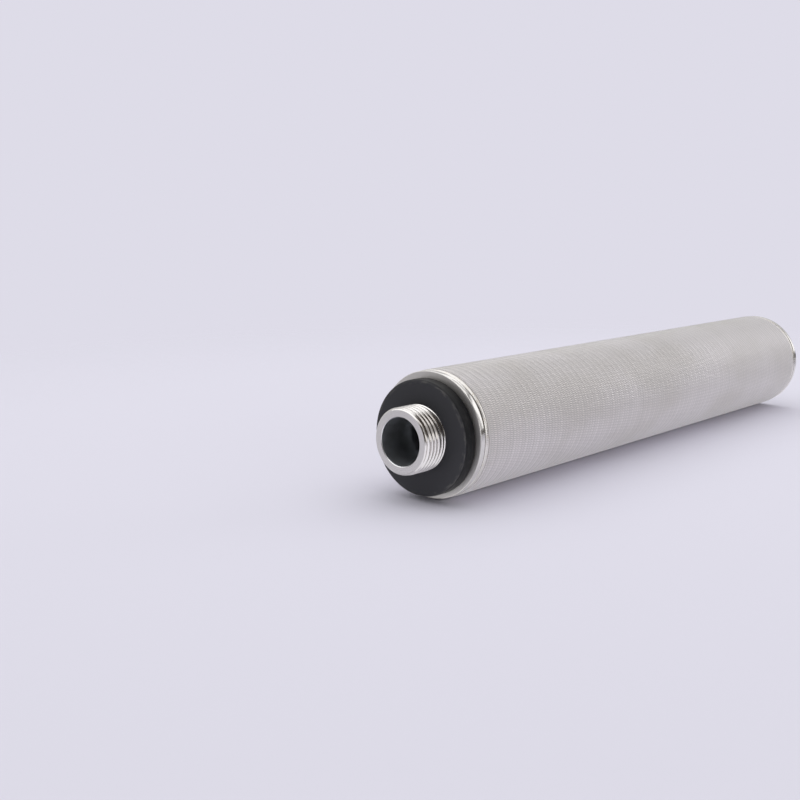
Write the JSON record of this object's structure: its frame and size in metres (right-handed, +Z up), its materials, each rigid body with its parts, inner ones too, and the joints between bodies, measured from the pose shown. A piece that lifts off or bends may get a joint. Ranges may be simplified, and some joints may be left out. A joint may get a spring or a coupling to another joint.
{
  "type": "sintered filter element",
  "caption": "Sintered wire-mesh filter cartridge: a hollow mesh tube welded to a threaded outlet cap and a closed end cap, with a loose rubber gasket that seals on the outlet side.",
  "frame": {"origin": "on the axis, at the plane where the outlet thread ends and the gasket's sealing face lies", "axes": "+X along the element from the outlet to the blind end, +Z up as it lies on its side"},
  "size_m": [0.3221, 0.0524, 0.0524],
  "materials": {
    "sintered_mesh": "matte bonded wire cloth",
    "turned_steel": "turned and polished",
    "gasket_rubber": "moulded, satin"
  },
  "bodies": {
    "root": {"filter_tube": "sintered_mesh", "outlet_cap": "turned_steel", "gasket": "gasket_rubber", "blind_cap": "turned_steel"}
  },
  "joints": []
}
